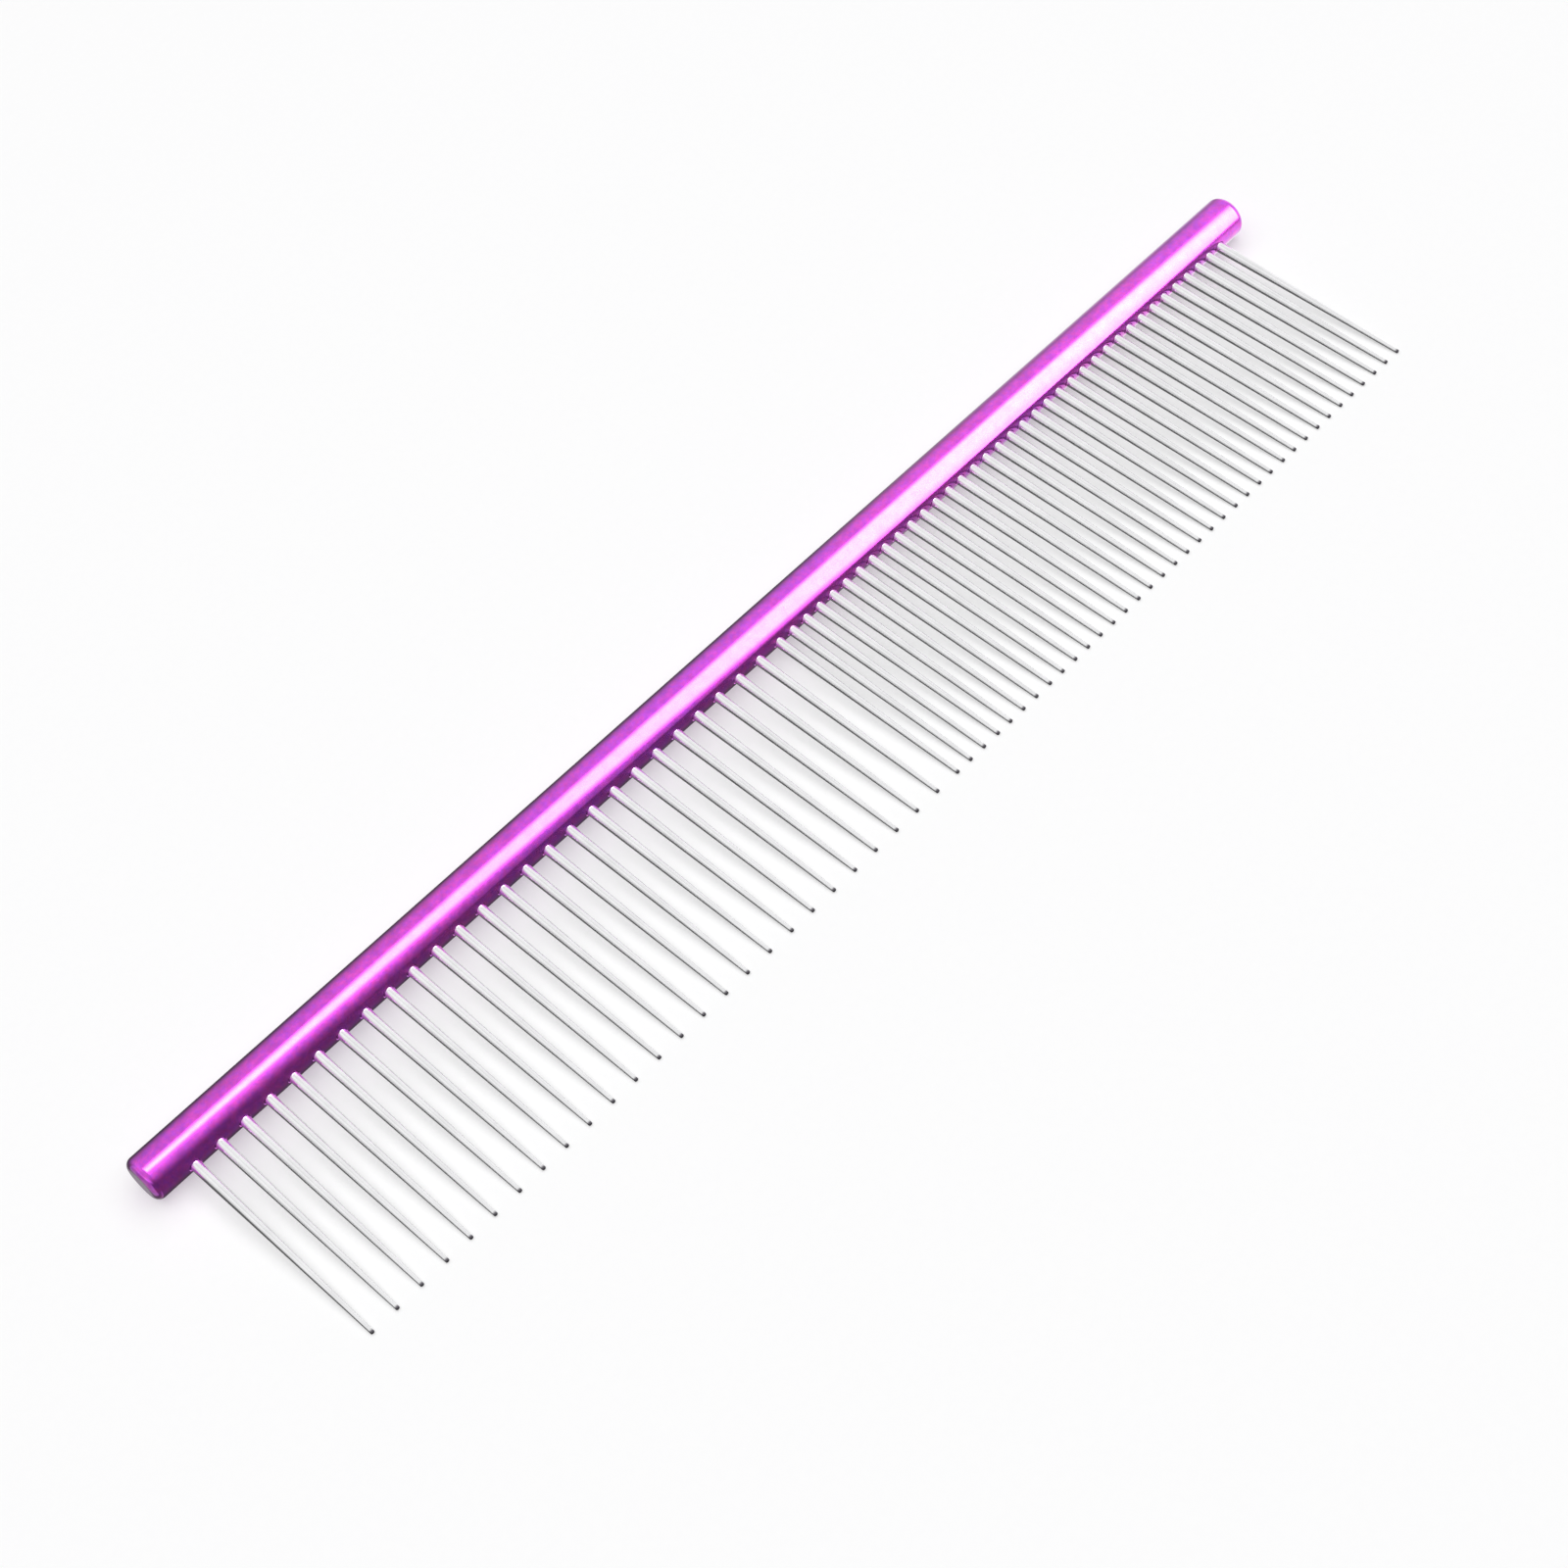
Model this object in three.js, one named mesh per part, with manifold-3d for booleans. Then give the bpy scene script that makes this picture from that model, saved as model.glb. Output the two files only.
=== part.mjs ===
// A steel grooming comb: tapered steel pins in two spacings, pressed into a
// round anodised aluminium spine. Millimetres, +Z up.
//
// The comb lies on the plane Z = 0 as it does on a table, on the underside of
// its spine and the tips of its pins. X runs along the spine with the coarse
// pins at the -X end, and the pins point towards -Y. The origin is under the
// middle of the comb's box.

import * as THREE from "three";
import { mergeVertices } from "three/addons/utils/BufferGeometryUtils.js";
import Module from "manifold-3d";

const wasm = await Module();
wasm.setup();

// Driving dimensions.
const SPINE_DIAMETER = 5.8;
const SPINE_OVERHANG = 5.5; // from the axis of the first or last pin to the end face
const END_ROUNDING = 1; // radius on the rim of each end face

const COARSE_PINS = 26;
const COARSE_PITCH = 3.6;
const FINE_PINS = 37;
const FINE_PITCH = 2.4;

const PIN_REACH = 32; // from the spine's axis to the tip of a pin
const PIN_ROOT_DIAMETER = 1.4;
const PIN_TIP_DIAMETER = 0.5; // the tip is a dome of this diameter
const PIN_BURIED = 0.9; // how far a pin's inner end passes the spine's axis

const BORE_CLEARANCE = 0.1; // all round a pin in its bore, and under its inner end

// Neighbouring pins at the fine end are made in pairs, tied inside the spine.
const TIED_PAIRS = 4;
const TIE_HEIGHT = 0.6;
const TIE_LENGTH = 0.8; // along the pins, measured from their inner ends

const SPINE_SIDES = 32;
const PIN_SIDES = 12;
const ROUNDING_STEPS = 3;
const WELD_DISTANCE = 1e-4; // corners closer than this are one corner
const CUTTER_OVERSHOOT = 1; // how far a bore's cutter passes the spine's surface

const spineRadius = SPINE_DIAMETER / 2;
const rootRadius = PIN_ROOT_DIAMETER / 2;
const tipRadius = PIN_TIP_DIAMETER / 2;
const pins = pinRow();
const firstPin = pins[0];
const lastPin = pins[pins.length - 1];

// One entry for each pin, from the coarse end: its place along the spine and
// its name. The last coarse pin is a coarse pitch away from the first fine one.
function pinRow() {
  const span = COARSE_PINS * COARSE_PITCH + (FINE_PINS - 1) * FINE_PITCH;
  const row = [];
  for (let i = 0; i < COARSE_PINS; i++) {
    row.push({ x: i * COARSE_PITCH - span / 2, kind: "coarse", number: i + 1 });
  }
  const fineStart = COARSE_PINS * COARSE_PITCH - span / 2;
  for (let i = 0; i < FINE_PINS; i++) {
    row.push({ x: fineStart + i * FINE_PITCH, kind: "fine", number: i + 1 });
  }
  return row;
}

function twoDigits(number) {
  return String(number).padStart(2, "0");
}

// The points of a quarter circle round (x, y), from angle `start`, in radians.
function quarterArc(x, y, radius, start) {
  const points = [];
  for (let i = 0; i <= ROUNDING_STEPS; i++) {
    const angle = start + (i / ROUNDING_STEPS) * (Math.PI / 2);
    points.push(new THREE.Vector2(x + radius * Math.cos(angle), y + radius * Math.sin(angle)));
  }
  return points;
}

function solidFrom(geometry) {
  const bare = geometry.clone();
  bare.deleteAttribute("normal");
  bare.deleteAttribute("uv");
  const merged = mergeVertices(bare, WELD_DISTANCE);
  return new wasm.Manifold(
    new wasm.Mesh({
      numProp: 3,
      vertProperties: merged.attributes.position.array,
      triVerts: new Uint32Array(merged.index.array),
    }),
  );
}

function geometryFrom(solid) {
  const { vertProperties, triVerts } = solid.getMesh();
  const geometry = new THREE.BufferGeometry();
  geometry.setAttribute("position", new THREE.BufferAttribute(vertProperties, 3));
  geometry.setIndex(new THREE.BufferAttribute(triVerts, 1));
  return geometry.toNonIndexed();
}

// A round bar along X, with rounded rims on its two flat ends.
function spineBar() {
  const near = firstPin.x - SPINE_OVERHANG;
  const far = lastPin.x + SPINE_OVERHANG;
  const flatRadius = spineRadius - END_ROUNDING;
  const profile = [
    new THREE.Vector2(0, near),
    ...quarterArc(flatRadius, near + END_ROUNDING, END_ROUNDING, -Math.PI / 2),
    ...quarterArc(flatRadius, far - END_ROUNDING, END_ROUNDING, 0),
    new THREE.Vector2(0, far),
  ];
  return new THREE.LatheGeometry(profile, SPINE_SIDES).rotateZ(-Math.PI / 2);
}

// A blind bore for one pin, from inside the spine out past its surface.
function pinBore(x) {
  const radius = rootRadius + BORE_CLEARANCE;
  const bottom = PIN_BURIED + BORE_CLEARANCE;
  const mouth = -spineRadius - CUTTER_OVERSHOOT;
  const bore = new THREE.CylinderGeometry(radius, radius, bottom - mouth, PIN_SIDES);
  return bore.translate(x, (bottom + mouth) / 2, 0);
}

// The bar that ties two neighbouring pins, or with a clearance the slot for it.
function tieBar(fromX, toX, clearance) {
  const bar = new THREE.BoxGeometry(
    toX - fromX,
    TIE_LENGTH + 2 * clearance,
    TIE_HEIGHT + 2 * clearance,
  );
  return bar.translate((fromX + toX) / 2, PIN_BURIED - TIE_LENGTH / 2, 0);
}

// A pin along -Y: a straight shank in the spine, then a taper to a domed tip.
function pinGeometry() {
  const profile = [
    ...quarterArc(0, tipRadius - PIN_REACH, tipRadius, -Math.PI / 2),
    new THREE.Vector2(rootRadius, -spineRadius),
    new THREE.Vector2(rootRadius, PIN_BURIED),
    new THREE.Vector2(0, PIN_BURIED),
  ];
  return new THREE.LatheGeometry(profile, PIN_SIDES);
}

function pairGeometry(gap) {
  const left = solidFrom(pinGeometry().translate(-gap / 2, 0, 0));
  const right = solidFrom(pinGeometry().translate(gap / 2, 0, 0));
  const tie = solidFrom(tieBar(-gap / 2, gap / 2, 0));
  return geometryFrom(left.add(right).add(tie));
}

function anodisedPurple() {
  return new THREE.MeshStandardMaterial({ color: 0xb545b8, roughness: 0.28, metalness: 0.85 });
}

function polishedSteel() {
  return new THREE.MeshStandardMaterial({ color: 0xdcdcde, roughness: 0.22, metalness: 1 });
}

function makeSpine(pairs) {
  let spine = solidFrom(spineBar());
  for (const pin of pins) {
    spine = spine.subtract(solidFrom(pinBore(pin.x)));
  }
  for (const [left, right] of pairs) {
    spine = spine.subtract(solidFrom(tieBar(left.x, right.x, BORE_CLEARANCE)));
  }
  const mesh = new THREE.Mesh(geometryFrom(spine), anodisedPurple());
  mesh.name = "spine";
  return mesh;
}

function makePin(pin) {
  const mesh = new THREE.Mesh(pinGeometry(), polishedSteel());
  mesh.name = `${pin.kind}_pin_${twoDigits(pin.number)}`;
  mesh.position.x = pin.x;
  return mesh;
}

function makePair([left, right]) {
  const mesh = new THREE.Mesh(pairGeometry(right.x - left.x), polishedSteel());
  mesh.name = `${left.kind}_pins_${twoDigits(left.number)}_${twoDigits(right.number)}`;
  mesh.position.x = (left.x + right.x) / 2;
  return mesh;
}

// The comb flat in the XY plane, with the spine's axis on the X axis.
function makeComb() {
  const single = pins.slice(0, pins.length - 2 * TIED_PAIRS);
  const pairs = [];
  for (let i = single.length; i < pins.length; i += 2) {
    pairs.push([pins[i], pins[i + 1]]);
  }
  const comb = new THREE.Group();
  comb.add(makeSpine(pairs));
  for (const pin of single) {
    comb.add(makePin(pin));
  }
  for (const pair of pairs) {
    comb.add(makePair(pair));
  }
  return comb;
}

// Tilts the comb about its spine until the pin tips rest on the plane that the
// spine rests on, then moves it so that the origin is under its middle.
function layDown(comb) {
  comb.rotation.x = Math.asin((spineRadius - tipRadius) / (PIN_REACH - tipRadius));
  const box = new THREE.Box3().setFromObject(comb, true);
  const middle = box.getCenter(new THREE.Vector3());
  comb.position.set(-middle.x, -middle.y, -box.min.z);
  return comb;
}

const groomingComb = new THREE.Group();
groomingComb.add(layDown(makeComb()));

export default groomingComb;
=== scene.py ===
"""A steel grooming comb on a pale surface: a purple anodised spine with a row of tapered steel pins.

Metres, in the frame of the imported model: X runs along the spine, the pins point towards -Y, and the
surface is Z = 0.
"""

import math
import random

import bmesh
import bpy
from mathutils import Matrix, Vector


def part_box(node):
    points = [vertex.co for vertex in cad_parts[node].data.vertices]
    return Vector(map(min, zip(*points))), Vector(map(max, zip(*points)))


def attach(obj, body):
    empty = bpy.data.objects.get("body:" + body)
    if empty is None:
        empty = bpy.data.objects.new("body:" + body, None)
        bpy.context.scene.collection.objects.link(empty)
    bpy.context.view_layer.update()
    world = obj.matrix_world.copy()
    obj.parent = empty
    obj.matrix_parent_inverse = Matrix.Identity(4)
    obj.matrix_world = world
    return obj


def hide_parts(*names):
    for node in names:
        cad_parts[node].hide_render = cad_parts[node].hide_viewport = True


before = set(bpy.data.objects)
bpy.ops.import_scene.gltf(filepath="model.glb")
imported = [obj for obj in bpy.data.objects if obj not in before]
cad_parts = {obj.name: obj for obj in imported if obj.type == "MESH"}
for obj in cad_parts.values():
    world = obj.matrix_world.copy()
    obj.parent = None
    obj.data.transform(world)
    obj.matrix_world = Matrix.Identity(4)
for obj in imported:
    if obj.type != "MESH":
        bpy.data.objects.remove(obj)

MM = 0.001
SEED = 63

# ---------------------------------------------------------------------------
# Sizes. The spine's come from its CAD node, and the pins' places from theirs.

SPINE_LOW, SPINE_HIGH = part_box("spine")
SPINE_HALF = (SPINE_HIGH.x - SPINE_LOW.x) / 2
SPINE_RADIUS = 2.9 * MM
RIM_ROUNDING = 1.0 * MM
RIM_STEPS = 12
SPINE_SEGMENTS = 144
SURFACE_TOLERANCE = 0.01 * MM

PIN_REACH = 32.0 * MM
PIN_BURIED = 0.9 * MM
ROOT_RADIUS = 0.7 * MM
TIP_RADIUS = 0.25 * MM
TIP_ROUNDING = 0.12 * MM
SHANK_CHAMFER = 0.1 * MM
TAPER_STEPS = 8
TIP_STEPS = 6
PIN_SEGMENTS = 32
SIDEWAYS_LEAN = math.radians(0.12)  # the most that a pin is off its line
UPWARD_LEAN = math.radians(0.05)

BORE_RADIUS = 0.735 * MM
BORE_DEPTH = 1.0 * MM  # past the spine's axis
MOUTH_RADIUS = 0.86 * MM  # of the small countersink, at the crown of the spine
MOUTH_DEPTH = 0.12 * MM
CUTTER_OVERSHOOT = 0.5 * MM
BORE_SEGMENTS = 40

# The comb lies on its spine and its pin tips, so its plane slopes down towards them.
SLOPE = math.asin((SPINE_RADIUS - TIP_RADIUS) / (PIN_REACH - TIP_RADIUS))
SPINE_AXIS = Vector((0, (SPINE_LOW.y + SPINE_HIGH.y) / 2, SPINE_RADIUS))
COMB = Matrix.Translation(SPINE_AXIS) @ Matrix.Rotation(SLOPE, 4, "X")


def pin_places():
    """(name, CAD node, place along X) of each pin. A node with two pins gives two places."""
    places = []
    for node in sorted(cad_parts):
        if node == "spine":
            continue
        low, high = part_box(node)
        kind, number = node.split("_")[0], int(node.split("_")[2])
        if "pins" in node:
            places.append((f"steel_{kind}_pin_{number:02d}", node, low.x + ROOT_RADIUS))
            places.append((f"steel_{kind}_pin_{number + 1:02d}", node, high.x - ROOT_RADIUS))
        else:
            places.append((f"steel_{kind}_pin_{number:02d}", node, (low.x + high.x) / 2))
    return sorted(places, key=lambda place: place[2])


PINS = pin_places()


# ---------------------------------------------------------------------------
# Meshes.

def turned(profile, segments):
    """A bmesh of (x, radius) points turned about the X axis. A radius of 0 at either end closes it."""
    bm = bmesh.new()
    rings = []
    for x, radius in profile:
        if radius == 0:
            rings.append([bm.verts.new((x, 0, 0))])
            continue
        turns = [2 * math.pi * i / segments for i in range(segments)]
        rings.append([bm.verts.new((x, radius * math.cos(t), radius * math.sin(t))) for t in turns])
    for low, high in zip(rings, rings[1:]):
        for i in range(segments):
            j = (i + 1) % segments
            corners = [low[i % len(low)], low[j % len(low)], high[j % len(high)], high[i % len(high)]]
            bm.faces.new(list(dict.fromkeys(corners)))
    bmesh.ops.recalc_face_normals(bm, faces=bm.faces)
    return bm


def arc(x, radius, size, start, end, steps):
    """Points of an arc of the profile round (x, radius), between two angles in degrees."""
    angles = [math.radians(start + (end - start) * i / steps) for i in range(steps + 1)]
    return [(x + size * math.cos(a), radius + size * math.sin(a)) for a in angles]


def mesh_from(bm, name):
    mesh = bpy.data.meshes.new(name)
    bm.to_mesh(mesh)
    bm.free()
    return mesh


def add_object(name, mesh, material=None):
    obj = bpy.data.objects.new(name, mesh)
    bpy.context.scene.collection.objects.link(obj)
    if material:
        mesh.materials.append(material)
    return obj


def spine_bar():
    """The round bar without its bores, with a ring of vertices midway between neighbouring pins."""
    flat = SPINE_RADIUS - RIM_ROUNDING
    inner = SPINE_HALF - RIM_ROUNDING
    between = [(a[2] + b[2]) / 2 for a, b in zip(PINS, PINS[1:])]
    face_rings = [share * flat for share in (0.25, 0.5, 0.75)]
    profile = [(-SPINE_HALF, 0)]
    profile += [(-SPINE_HALF, radius) for radius in face_rings]
    profile += arc(-inner, flat, RIM_ROUNDING, 180, 90, RIM_STEPS)
    profile += [(x, SPINE_RADIUS) for x in between]
    profile += arc(inner, flat, RIM_ROUNDING, 90, 0, RIM_STEPS)
    profile += [(SPINE_HALF, radius) for radius in reversed(face_rings)]
    profile += [(SPINE_HALF, 0)]
    return turned(profile, SPINE_SEGMENTS)


def bore_cutters():
    """All the bores as one mesh of separate plugs, each with a countersink at the spine's surface."""
    outside = SPINE_RADIUS + CUTTER_OVERSHOOT
    slope = (MOUTH_RADIUS - BORE_RADIUS) / MOUTH_DEPTH
    profile = [
        (-BORE_DEPTH, 0),
        (-BORE_DEPTH, BORE_RADIUS),
        (SPINE_RADIUS - MOUTH_DEPTH, BORE_RADIUS),
        (outside, BORE_RADIUS + (outside - SPINE_RADIUS + MOUTH_DEPTH) * slope),
        (outside, 0),
    ]
    plugs = bmesh.new()
    for _, _, x in PINS:
        plug = turned(profile, BORE_SEGMENTS)
        plug.transform(Matrix.Translation((x, 0, 0)) @ Matrix.Rotation(-math.pi / 2, 4, "Z"))
        part = mesh_from(plug, "plug")
        plugs.from_mesh(part)
        bpy.data.meshes.remove(part)
    return plugs


def surface_normal(point):
    """The normal of the spine's turned surface at a point on it, or None inside a bore or on an end face."""
    inner = SPINE_HALF - RIM_ROUNDING
    flat = SPINE_RADIUS - RIM_ROUNDING
    across = Vector((0, point.y, point.z))
    radial = across.normalized()
    if abs(point.x) <= inner:
        return radial if across.length > SPINE_RADIUS - SURFACE_TOLERANCE else None
    centre = Vector((math.copysign(inner, point.x), 0, 0)) + radial * flat
    from_centre = point - centre
    if across.length < flat or abs(from_centre.length - RIM_ROUNDING) > SURFACE_TOLERANCE:
        return None
    return from_centre.normalized()


def smooth_spine(mesh):
    """Gives the turned surface its exact normals, so that the cuts round the bores don't show."""
    same_side = 0.97  # the cosine between a face and the exact normal at its corners
    mesh.shade_smooth()
    mesh.set_sharp_from_angle(angle=math.radians(30))
    normals = []
    for face in mesh.polygons:
        for index in face.vertices:
            point = mesh.vertices[index].co
            exact = surface_normal(point)
            outside = exact is not None and exact.dot(face.normal) > same_side
            normals.append(exact if outside else Vector((0, 0, 0)))
    mesh.normals_split_custom_set(normals)


def make_spine(material):
    bar = add_object("spine_bar", mesh_from(spine_bar(), "spine_bar"))
    plugs = add_object("bore_plugs", mesh_from(bore_cutters(), "bore_plugs"))
    cut = bar.modifiers.new("bores", "BOOLEAN")
    cut.operation = "DIFFERENCE"
    cut.solver = "MANIFOLD"
    cut.object = plugs
    bored = bpy.data.meshes.new_from_object(bar.evaluated_get(bpy.context.evaluated_depsgraph_get()))
    bpy.data.objects.remove(bar)
    bpy.data.objects.remove(plugs)
    bored.name = "anodised_spine"
    bored.materials.clear()
    smooth_spine(bored)
    bored.transform(COMB)
    spine = add_object("anodised_spine", bored, material)
    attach(spine, "root")
    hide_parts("spine")
    return spine


def pin_mesh(name):
    """A pin along +X from the spine's axis: its shank in the spine, a taper and a blunt, rounded tip."""
    profile = [
        (-PIN_BURIED, 0),
        (-PIN_BURIED, ROOT_RADIUS - SHANK_CHAMFER),
        (SHANK_CHAMFER - PIN_BURIED, ROOT_RADIUS),
        (SPINE_RADIUS - MOUTH_DEPTH, ROOT_RADIUS),
    ]
    taper_start, taper_end = SPINE_RADIUS, PIN_REACH - TIP_ROUNDING
    for step in range(TAPER_STEPS):
        share = step / TAPER_STEPS
        x = taper_start + share * (taper_end - taper_start)
        profile.append((x, ROOT_RADIUS + share * (TIP_RADIUS - ROOT_RADIUS)))
    flat_end = TIP_RADIUS - TIP_ROUNDING
    profile += arc(PIN_REACH - TIP_ROUNDING, flat_end, TIP_ROUNDING, 90, 0, TIP_STEPS)
    profile += [(PIN_REACH, flat_end / 2), (PIN_REACH, 0)]
    mesh = mesh_from(turned(profile, PIN_SEGMENTS), name)
    mesh.shade_smooth()
    mesh.set_sharp_from_angle(angle=math.radians(40))
    return mesh


def make_pins(material):
    """Each pin in its bore, turned about its own axis and off its line by a hair, as pressed pins are."""
    chance = random.Random(SEED)
    point_to_pins = Matrix.Rotation(-math.pi / 2, 4, "Z")
    for name, node, x in PINS:
        sideways = Matrix.Rotation(chance.uniform(-SIDEWAYS_LEAN, SIDEWAYS_LEAN), 4, "Z")
        upwards = Matrix.Rotation(chance.uniform(-UPWARD_LEAN, 0.0), 4, "Y")
        spin = Matrix.Rotation(chance.uniform(0, 2 * math.pi), 4, "X")
        in_bore = Matrix.Translation((x, 0, 0)) @ point_to_pins
        mesh = pin_mesh(name)
        mesh.transform(COMB @ in_bore @ sideways @ upwards @ spin)
        pin = add_object(name, mesh, material)
        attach(pin, "root")
        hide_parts(node)


# ---------------------------------------------------------------------------
# Materials.

WHITE = (1, 1, 1, 1)


class Nodes:
    """Short calls for building one node tree."""

    def __init__(self, tree):
        self.tree = tree
        tree.nodes.clear()

    def add(self, kind, settings=None, **inputs):
        """A new node. In the name of an input, an underscore stands for a space."""
        node = self.tree.nodes.new(kind)
        for key, value in (settings or {}).items():
            setattr(node, key, value)
        for key, value in inputs.items():
            self.set(node.inputs[key.replace("_", " ")], value)
        return node

    def set(self, socket, value):
        if isinstance(value, bpy.types.NodeSocket):
            self.tree.links.new(value, socket)
        else:
            socket.default_value = value

    def noise(self, place, scale, detail=2.0, roughness=0.5):
        node = self.add("ShaderNodeTexNoise", Vector=place, Scale=scale, Detail=detail, Roughness=roughness)
        return node.outputs["Fac"]

    def stretched(self, place, scale):
        return self.add("ShaderNodeMapping", Vector=place, Scale=scale).outputs["Vector"]

    def between(self, value, low, high, to_low=0.0, to_high=1.0, smooth=False):
        """Goes from to_low to to_high as the value goes from low to high, and stays level past them."""
        interpolation = "SMOOTHSTEP" if smooth else "LINEAR"
        node = self.add("ShaderNodeMapRange", {"interpolation_type": interpolation})
        ends = (value, low, high, to_low, to_high)
        for key, end in zip(("Value", "From Min", "From Max", "To Min", "To Max"), ends):
            self.set(node.inputs[key], end)
        return node.outputs["Result"]

    def math(self, operation, a, b=0.0):
        node = self.add("ShaderNodeMath", {"operation": operation})
        self.set(node.inputs[0], a)
        self.set(node.inputs[1], b)
        return node.outputs["Value"]

    def plus(self, a, b):
        return self.math("ADD", a, b)

    def times(self, first, *others):
        for other in others:
            first = self.math("MULTIPLY", first, other)
        return first

    def larger(self, a, b):
        return self.math("MAXIMUM", a, b)

    def vector_math(self, operation, a, b=(0, 0, 0)):
        """The outputs of a vector operation, of which each operation fills only one."""
        node = self.add("ShaderNodeVectorMath", {"operation": operation})
        self.set(node.inputs[0], a)
        self.set(node.inputs[1], b)
        return node.outputs

    def axes(self, vector):
        return self.add("ShaderNodeSeparateXYZ", Vector=vector).outputs[:]

    def blend(self, share, a, b):
        node = self.add("ShaderNodeMix", {"data_type": "FLOAT"})
        self.set(node.inputs["Factor"], share)
        self.set(node.inputs["A"], a)
        self.set(node.inputs["B"], b)
        return node.outputs["Result"]

    def mix(self, share, a, b, blend="MIX"):
        node = self.add("ShaderNodeMix", {"data_type": "RGBA", "blend_type": blend})
        self.set(node.inputs["Factor"], share)
        self.set(node.inputs["A"], a)
        self.set(node.inputs["B"], b)
        return node.outputs["Result"]

    def bump(self, height, strength, distance, below=None):
        node = self.add("ShaderNodeBump", Height=height, Strength=strength, Distance=distance)
        if below is not None:
            self.set(node.inputs["Normal"], below)
        return node.outputs["Normal"]


def new_material(name):
    material = bpy.data.materials.new(name)
    material.use_nodes = True
    return material, Nodes(material.node_tree)


def comb_place(n):
    """Where a point is on the comb: x along the spine, y along the pins from the spine's axis."""
    place = n.add("ShaderNodeTexCoord").outputs["Object"]
    mapping = n.add("ShaderNodeMapping", {"vector_type": "TEXTURE"}, Vector=place)
    mapping.inputs["Location"].default_value = SPINE_AXIS
    mapping.inputs["Rotation"].default_value = (SLOPE, 0, 0)
    return mapping.outputs["Vector"]


def anodised_purple():
    """Dyed anodised aluminium, drawn lengthways, with a glassy oxide skin and slightly worn, pale rims."""
    material, n = new_material("anodised_purple")
    place = comb_place(n)

    # Noise scales are in features per metre.
    mottle = n.noise(place, 900.0, 3.0, 0.6)
    cloud = n.noise(n.stretched(place, (0.35, 1.0, 1.0)), 130.0, 2.0)
    fleck = n.noise(place, 1500.0, 2.0, 0.6)
    drawn = n.noise(n.stretched(place, (0.02, 1.0, 1.0)), 5200.0, 2.0, 0.6)
    grain = n.noise(place, 3800.0, 2.0, 0.7)

    deep, bright = (0.70, 0.042, 0.71, 1), (0.92, 0.060, 0.93, 1)
    bluish_cloud, reddish_cloud = (0.90, 0.94, 1.0, 1), (1.0, 1.0, 0.93, 1)
    bluish_fleck, reddish_fleck = (0.80, 0.95, 1.0, 1), (1.0, 1.0, 0.86, 1)
    dye = n.mix(n.between(mottle, 0.32, 0.68), deep, bright)
    clouds = n.mix(n.between(cloud, 0.4, 0.6), bluish_cloud, reddish_cloud)
    dye = n.mix(1.0, dye, clouds, "MULTIPLY")
    flecks = n.mix(n.between(fleck, 0.36, 0.64), bluish_fleck, reddish_fleck)
    dye = n.mix(1.0, dye, flecks, "MULTIPLY")

    worn_colour, most_wear = (0.86, 0.50, 0.85, 1), 0.25
    end = n.math("ABSOLUTE", n.axes(place)[0])
    rim_start, rim_full = SPINE_HALF - 0.6 * RIM_ROUNDING, SPINE_HALF - 0.2 * RIM_ROUNDING
    on_rim = n.between(end, rim_start, rim_full, smooth=True)
    off_face = n.between(end, SPINE_HALF - 0.06 * RIM_ROUNDING, SPINE_HALF, 1.0, 0.0, smooth=True)
    worn = n.times(on_rim, off_face, n.between(mottle, 0.42, 0.62))
    dye = n.mix(n.times(worn, most_wear), dye, worn_colour)

    roughness = n.between(grain, 0.3, 0.7, 0.11, 0.15)
    roughness = n.plus(roughness, n.between(cloud, 0.35, 0.65, 0.0, 0.03))
    relief = n.bump(drawn, 0.06, 0.02 * MM)
    relief = n.bump(grain, 0.06, 0.02 * MM, relief)

    metal = n.add(
        "ShaderNodeBsdfPrincipled",
        Base_Color=dye,
        Metallic=1.0,
        Roughness=roughness,
        Normal=relief,
        Coat_Weight=1.0,
        Coat_Roughness=0.08,
        Coat_IOR=1.6,
    )
    n.add("ShaderNodeOutputMaterial", Surface=metal.outputs["BSDF"])
    return material


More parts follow.
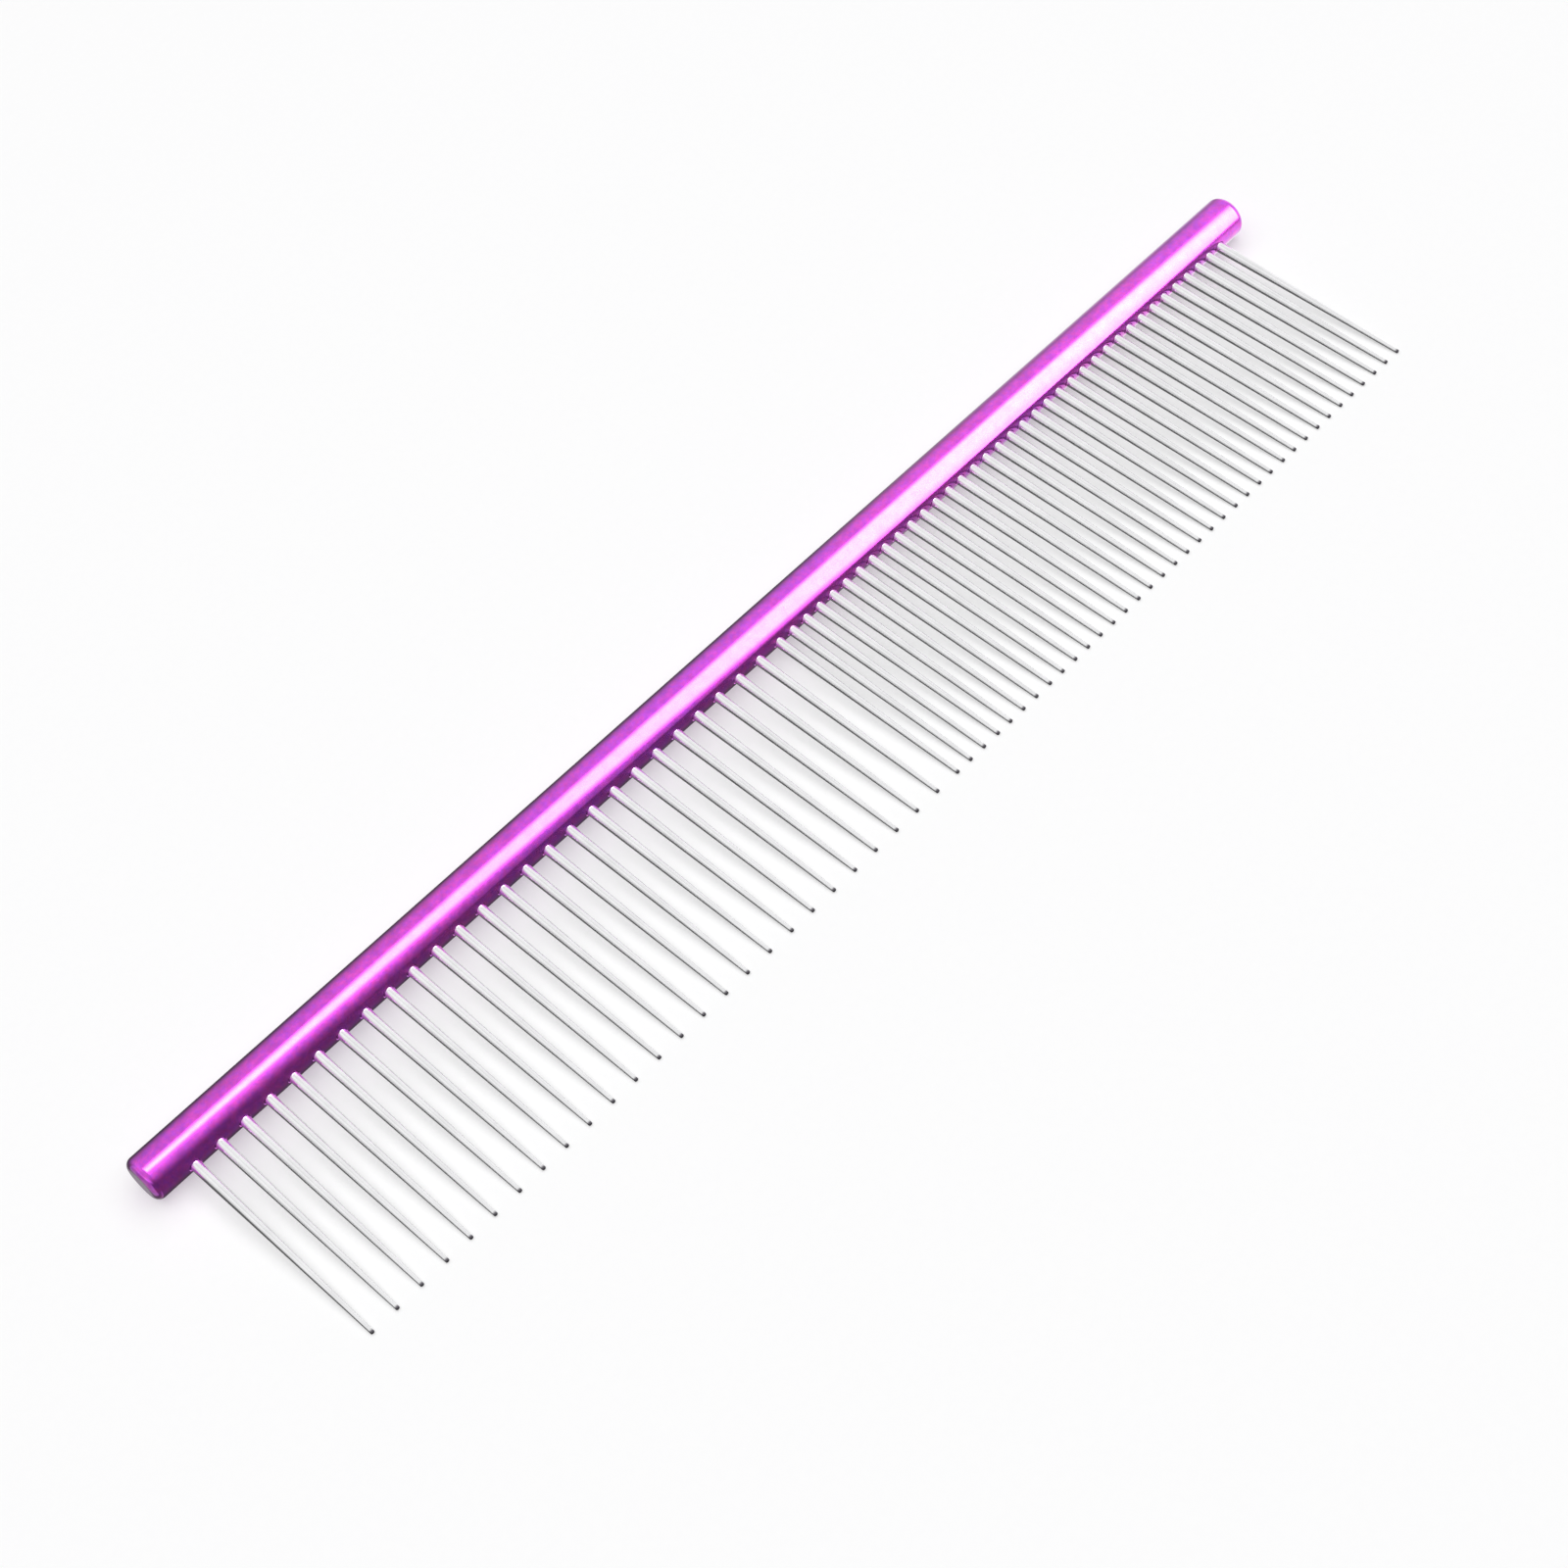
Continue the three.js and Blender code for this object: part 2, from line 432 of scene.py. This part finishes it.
def ground_steel():
    """Bright steel with faint grinding rings and small changes in its polish, and painted shade that darkens
    the tip of each pin.
    """
    material, n = new_material("ground_steel")
    which_pin = n.add("ShaderNodeObjectInfo").outputs["Random"]
    on_comb = comb_place(n)
    place = n.vector_math("ADD", on_comb, which_pin)["Vector"]  # so that no two pins are alike

    rings = n.noise(n.stretched(place, (0.04, 1.0, 0.04)), 5000.0, 2.0, 0.5)
    smudge = n.noise(place, 260.0, 3.0, 0.55)
    grain = n.noise(place, 7000.0, 2.0)

    darker, lighter = (0.84, 0.84, 0.85, 1), (0.92, 0.92, 0.93, 1)
    in_a_ring, most_ring = (0.76, 0.76, 0.77, 1), 0.2
    # Painted shade: a dark, rough colour for the tips, standing in for the dark reflection and shadow there.
    painted_tip_shade_colour, tip_shade_roughness = (0.15, 0.14, 0.16, 1), 0.5
    colour = n.mix(n.between(smudge, 0.35, 0.65), darker, lighter)
    colour = n.mix(n.between(rings, 0.25, 0.75, 0.0, most_ring), colour, in_a_ring)
    roughness = n.between(smudge, 0.3, 0.7, 0.16, 0.26)
    roughness = n.plus(roughness, n.between(which_pin, 0.0, 1.0, -0.02, 0.03))

    # Painted shade over the last half millimetre of each pin, which makes its tip a dark dot.
    tip_shade_start, tip_shade_full = 0.50 * MM - PIN_REACH, 0.15 * MM - PIN_REACH
    painted_tip_shade = n.between(n.axes(on_comb)[1], tip_shade_start, tip_shade_full, smooth=True)
    colour = n.mix(painted_tip_shade, colour, painted_tip_shade_colour)
    roughness = n.blend(painted_tip_shade, roughness, tip_shade_roughness)

    relief = n.bump(rings, 0.012, 0.01 * MM)
    relief = n.bump(grain, 0.006, 0.01 * MM, relief)
    metal = n.add(
        "ShaderNodeBsdfPrincipled", Base_Color=colour, Metallic=1.0, Roughness=roughness, Normal=relief
    )
    n.add("ShaderNodeOutputMaterial", Surface=metal.outputs["BSDF"])
    return material


def pale_surface():
    """Matt white paper with a faint fibre. It glows a little by the comb, so that shadows stay pale, and
    is plain white further away, so that no horizon shows.
    """
    material, n = new_material("pale_surface")
    place = n.add("ShaderNodeTexCoord").outputs["Object"]
    fibre = n.noise(place, 900.0, 3.0, 0.6)
    colour = n.mix(fibre, (0.86, 0.86, 0.865, 1), (0.89, 0.89, 0.893, 1))
    paper = n.add("ShaderNodeBsdfPrincipled", Base_Color=colour, Roughness=0.9)
    paper.inputs["Specular IOR Level"].default_value = 0.1
    glow = n.add("ShaderNodeEmission", Color=WHITE, Strength=1.0)

    near, far = 0.22, 0.5  # metres from the middle of the comb
    share_near, share_far = 0.45, 1.0
    distance = n.vector_math("LENGTH", place)["Value"]
    both = n.add("ShaderNodeMixShader")
    n.set(both.inputs[0], n.between(distance, near, far, share_near, share_far, smooth=True))
    n.set(both.inputs[1], paper.outputs["BSDF"])
    n.set(both.inputs[2], glow.outputs["Emission"])
    n.add("ShaderNodeOutputMaterial", Surface=both.outputs["Shader"])
    return material


# ---------------------------------------------------------------------------
# Surface, light and camera.

FLOOR_HALF = 2.0

PALEST = (0.05, 0.30, 0.953)  # the direction of the palest part of the studio's ceiling

# The softbox hangs over the comb, turned about the spine's axis towards the pins. Its height and its
# corners are from that axis.
PANEL_HEIGHT = 0.5
PANEL_LOW, PANEL_HIGH = Vector((-0.25, -8.5)), Vector((6.5, 0.3))
PANEL_TURN = 2 * SLOPE

# The card past the coarse end faces along X, and its corners are (y, z). It reaches below the surface that
# the comb lies on, which the metal doesn't reflect.
END_CARD_X = -0.3
END_CARD_LOW, END_CARD_HIGH = Vector((-0.15, -0.35)), Vector((0.3, 0.1))
END_CARD_LEVEL = 0.35

OVERHEAD_SIZE = 2.2
OVERHEAD_HEIGHT = 1.2
OVERHEAD_RADIANCE = 2.15

CAMERA_PLACE = Vector((-129.6, -156.0, 258.0)) * MM
CAMERA_TARGET = Vector((-10.5, -2.1, 0.0)) * MM
CAMERA_ROLL = math.radians(-11.1)
CAMERA_SENSOR = 36.0  # wide, in millimetres, as the lens is
CAMERA_LENS = 62.5
CAMERA_CLIP = 0.01, 20.0


def make_floor():
    bm = bmesh.new()
    bmesh.ops.create_grid(bm, x_segments=8, y_segments=8, size=FLOOR_HALF)
    floor = add_object("floor", mesh_from(bm, "floor"), pale_surface())
    floor.visible_glossy = False


def room_light(n):
    """How bright the room is in each direction, for the metal to reflect: along X, across in Y, and up."""
    direction = n.add("ShaderNodeTexCoord").outputs["Generated"]
    along, across, up = n.axes(direction)

    # A pale ceiling, palest past the comb's ends, and a little light from the side of the pins.
    towards_palest = n.vector_math("DOT_PRODUCT", direction, PALEST)["Value"]
    ceiling = n.between(towards_palest, -0.155, 1.05, 0.10, 0.98, smooth=True)
    from_middle = n.math("ABSOLUTE", n.math("SUBTRACT", along, 0.1))
    ceiling = n.times(ceiling, n.between(from_middle, 0.0, 0.45, 0.85, 1.1))

    # A pale wall past the coarse end, with the floor below it. The dark between the two is the line
    # along one side of each pin.
    left_wall = n.times(
        n.between(along, -0.35, -0.6, 0.0, 0.85),
        n.between(up, 0.05, 0.38, smooth=True),
    )
    left_floor = n.times(
        n.between(along, 0.0, -0.08),
        n.between(along, -0.1, -0.35, 0.34, 0.05),
        n.between(up, -0.5, -0.7),
    )
    room = n.larger(ceiling, n.larger(left_wall, left_floor))
    room = n.plus(room, n.between(across, 0.0, -0.5, 0.0, 0.08))

    # Bright past the fine end, from level with the comb down to the floor.
    low_down = n.times(
        n.between(along, 0.40, 0.58, smooth=True),
        n.between(up, 0.1, -0.4, smooth=True),
        n.between(across, 0.2, 0.65, 1.0, 0.6),
    )
    level_with_comb = n.times(
        n.between(along, 0.6, 0.8, smooth=True), n.between(up, 0.75, 0.3, smooth=True)
    )
    bright_end = 1.1
    return n.blend(n.larger(low_down, level_with_comb), room, bright_end)


def make_world():
    """The room, which only the metal sees. The camera sees plain white."""
    world = bpy.data.worlds.new("studio")
    world.use_nodes = True
    bpy.context.scene.world = world
    n = Nodes(world.node_tree)
    seen_by_camera = n.add("ShaderNodeLightPath").outputs["Is Camera Ray"]
    strength = n.blend(seen_by_camera, room_light(n), 1.0)
    light = n.add("ShaderNodeBackground", Color=WHITE, Strength=strength)
    n.add("ShaderNodeOutputWorld", Surface=light.outputs["Background"])
    world.cycles_visibility.diffuse = False


def clear_glow(n, level):
    """A glow that whatever is behind it shows through."""
    glow = n.add("ShaderNodeEmission", Color=WHITE, Strength=level)
    clear = n.add("ShaderNodeBsdfTransparent", Color=WHITE)
    both = n.add("ShaderNodeAddShader")
    n.set(both.inputs[0], glow.outputs["Emission"])
    n.set(both.inputs[1], clear.outputs["BSDF"])
    n.add("ShaderNodeOutputMaterial", Surface=both.outputs["Shader"])


def panel_light():
    """The softbox's glow, in its own coordinates: x along the spine, and -y over the pins and past them.

    Its left edge runs aslant and has a faint halo beside it. The glow is strongest over the two ends of
    the spine, and weaker far in front.
    """
    material, n = new_material("panel_light")
    x, y, _ = n.axes(n.add("ShaderNodeTexCoord").outputs["Object"])

    slant, edge_start = 0.5435, 0.055
    softness_here, softness_slope = 0.035, -0.09
    past_edge = n.plus(n.plus(x, n.times(y, slant)), edge_start)
    softness = n.plus(n.times(y, softness_slope), softness_here)
    in_soft_edges = n.math("DIVIDE", past_edge, softness)
    side = n.between(in_soft_edges, -1.0, 1.0, smooth=True)
    halo = n.between(in_soft_edges, -4.0, -0.8, 0.0, 0.4, smooth=True)

    width_here, width_slope, right_softness = 0.5, -0.06, 0.1
    width = n.plus(n.times(y, width_slope), width_here)
    past_right = n.math("SUBTRACT", past_edge, width)
    right = n.between(past_right, -right_softness, right_softness, 1.0, 0.0, smooth=True)
    back = n.between(y, 0.24, 0.0, smooth=True)

    near_end, middle, far_end = 8.0, 5.5, 8.2
    over_near_end = n.between(x, -0.03, 0.10, near_end, middle)
    over_far_end = n.between(x, 0.10, 0.42, middle, far_end)
    level = n.times(
        n.larger(over_near_end, over_far_end),
        n.between(y, -1.2, -0.25, 0.72, 1.0),
        n.between(y, -8.0, -1.2, 0.75, 1.0),
    )
    level = n.times(n.larger(n.times(level, side), halo), back, right)

    clear_glow(n, level)
    return material


def shine_only_on(piece, panel):
    """Panels are seen by the metal of one piece only, and neither by the camera nor by the surface."""
    lit = bpy.data.collections.new(f"lit_by_{panel.name}")
    lit.objects.link(piece)
    panel.light_linking.receiver_collection = lit
    panel.visible_camera = panel.visible_diffuse = panel.visible_shadow = False


def rectangle(low, high):
    return [(low.x, low.y), (high.x, low.y), (high.x, high.y), (low.x, high.y)]


def one_face(name, corners):
    bm = bmesh.new()
    bm.faces.new([bm.verts.new(corner) for corner in corners])
    return mesh_from(bm, name)


def make_panel(spine):
    """The softbox, which makes the highlight along the spine."""
    corners = [(x, y, PANEL_HEIGHT) for x, y in rectangle(PANEL_LOW, PANEL_HIGH)]
    panel = add_object("softbox_panel", one_face("softbox_panel", corners), panel_light())
    turn = Matrix.Rotation(PANEL_TURN, 4, "X") @ Matrix.Translation(-SPINE_AXIS)
    panel.matrix_world = Matrix.Translation(SPINE_AXIS) @ turn
    shine_only_on(spine, panel)


def make_end_card(spine):
    """A dim card past the coarse end, which keeps the rounded rim there from going dark."""
    material, n = new_material("card_light")
    clear_glow(n, END_CARD_LEVEL)
    material.cycles.emission_sampling = "NONE"
    corners = [(END_CARD_X, y, z) for y, z in rectangle(END_CARD_LOW, END_CARD_HIGH)]
    card = add_object("end_card", one_face("end_card", corners), material)
    shine_only_on(spine, card)


def make_overhead_light():
    """The broad light on the surface that the comb lies on."""
    data = bpy.data.lights.new("overhead_light", "AREA")
    data.size = OVERHEAD_SIZE
    data.energy = OVERHEAD_RADIANCE * math.pi * OVERHEAD_SIZE ** 2
    light = bpy.data.objects.new("overhead_light", data)
    light.location = (0, 0, OVERHEAD_HEIGHT)
    light.visible_camera = light.visible_glossy = False
    bpy.context.scene.collection.objects.link(light)


def make_camera():
    data = bpy.data.cameras.new("camera")
    data.lens = CAMERA_LENS
    data.sensor_width = CAMERA_SENSOR
    data.clip_start, data.clip_end = CAMERA_CLIP
    camera = bpy.data.objects.new("camera", data)
    aim = (CAMERA_TARGET - CAMERA_PLACE).to_track_quat("-Z", "Y").to_matrix().to_4x4()
    camera.matrix_world = Matrix.Translation(CAMERA_PLACE) @ aim @ Matrix.Rotation(CAMERA_ROLL, 4, "Z")
    bpy.context.scene.collection.objects.link(camera)
    bpy.context.scene.camera = camera


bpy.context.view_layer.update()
spine = make_spine(anodised_purple())
make_pins(ground_steel())
make_floor()
make_world()
make_panel(spine)
make_end_card(spine)
make_overhead_light()
make_camera()
bpy.context.scene.view_settings.view_transform = "Standard"
